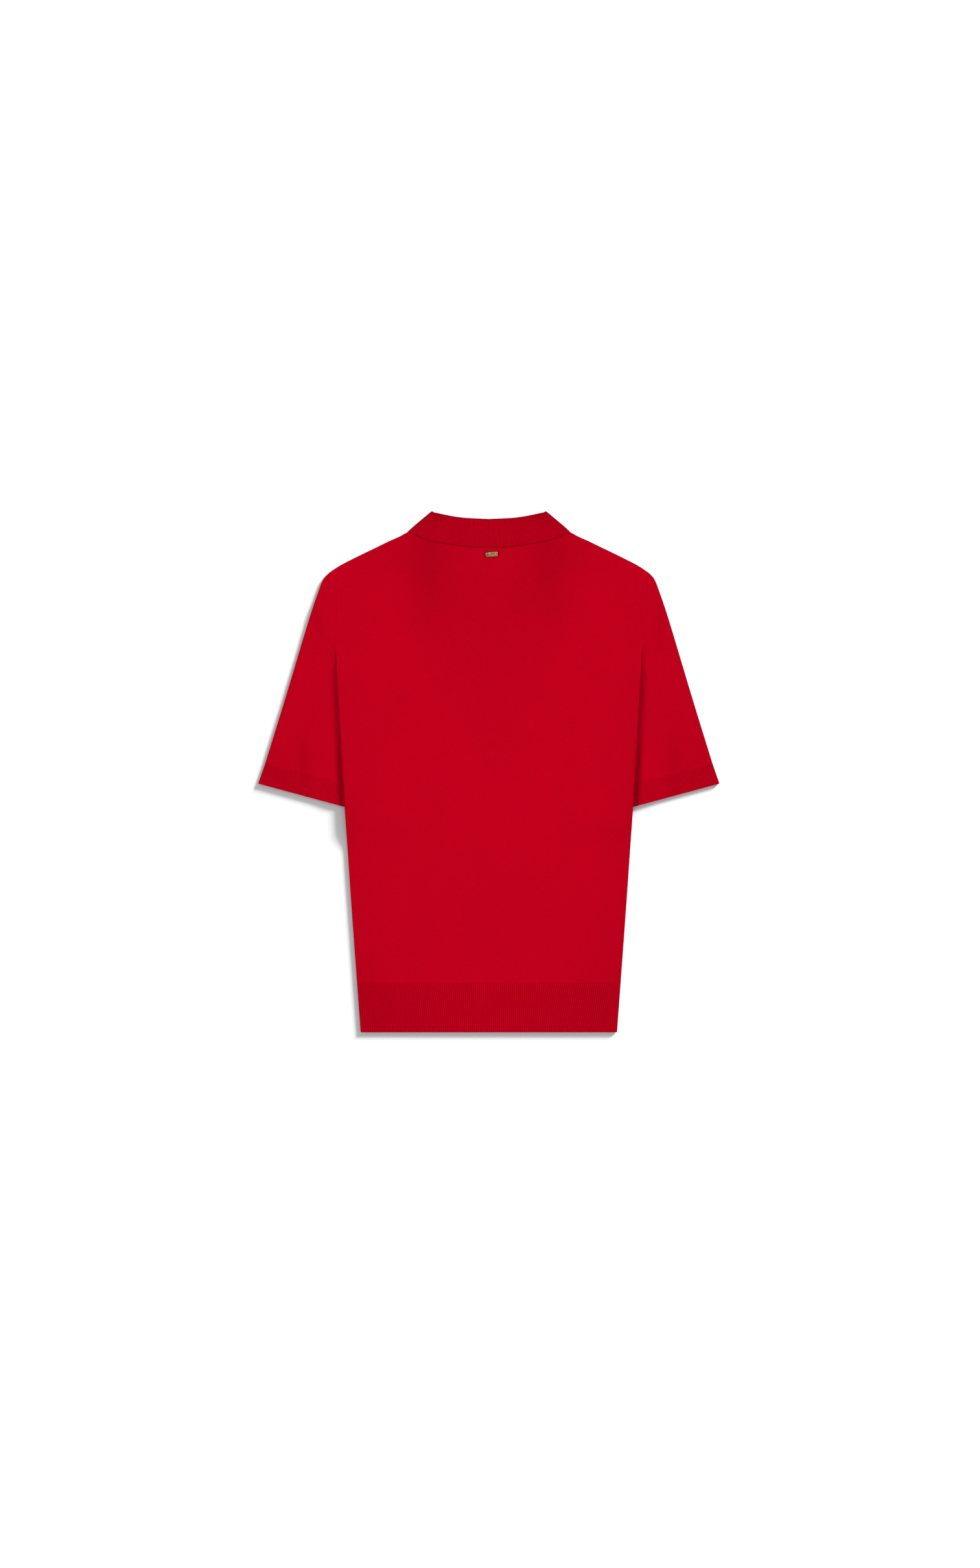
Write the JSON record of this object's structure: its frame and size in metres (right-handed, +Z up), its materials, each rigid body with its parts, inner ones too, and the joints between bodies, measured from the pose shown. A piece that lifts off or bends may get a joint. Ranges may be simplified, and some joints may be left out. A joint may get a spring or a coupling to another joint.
{
  "type": "polo shirt",
  "caption": "Short-sleeved fine-knit polo shirt with ribbed collar, cuffs and hem, laid flat face down with its back up.",
  "frame": {"origin": "centre of the garment's outline, on the surface that it lies on", "axes": "+Y from the hem to the collar, +Z up from the surface through the back, +X to the wearer's right"},
  "size_m": [0.569, 0.6432, 0.0073],
  "materials": {
    "knit": "fine smooth red knit, matt",
    "rib": "ribbed red knit, matt",
    "button": "red, softly polished",
    "plate": "polished gold colour, plain"
  },
  "bodies": {
    "root": {"back_panel": "knit", "front_panel": "knit", "hem_rib_back": "rib", "hem_rib_front": "rib", "sleeve_left": "knit", "sleeve_right": "knit", "cuff_left": "rib", "cuff_right": "rib", "collar": "rib", "placket_upper": "rib", "placket_under": "rib", "button_1": "button", "button_2": "button", "button_3": "button", "back_plate": "plate"}
  },
  "joints": []
}
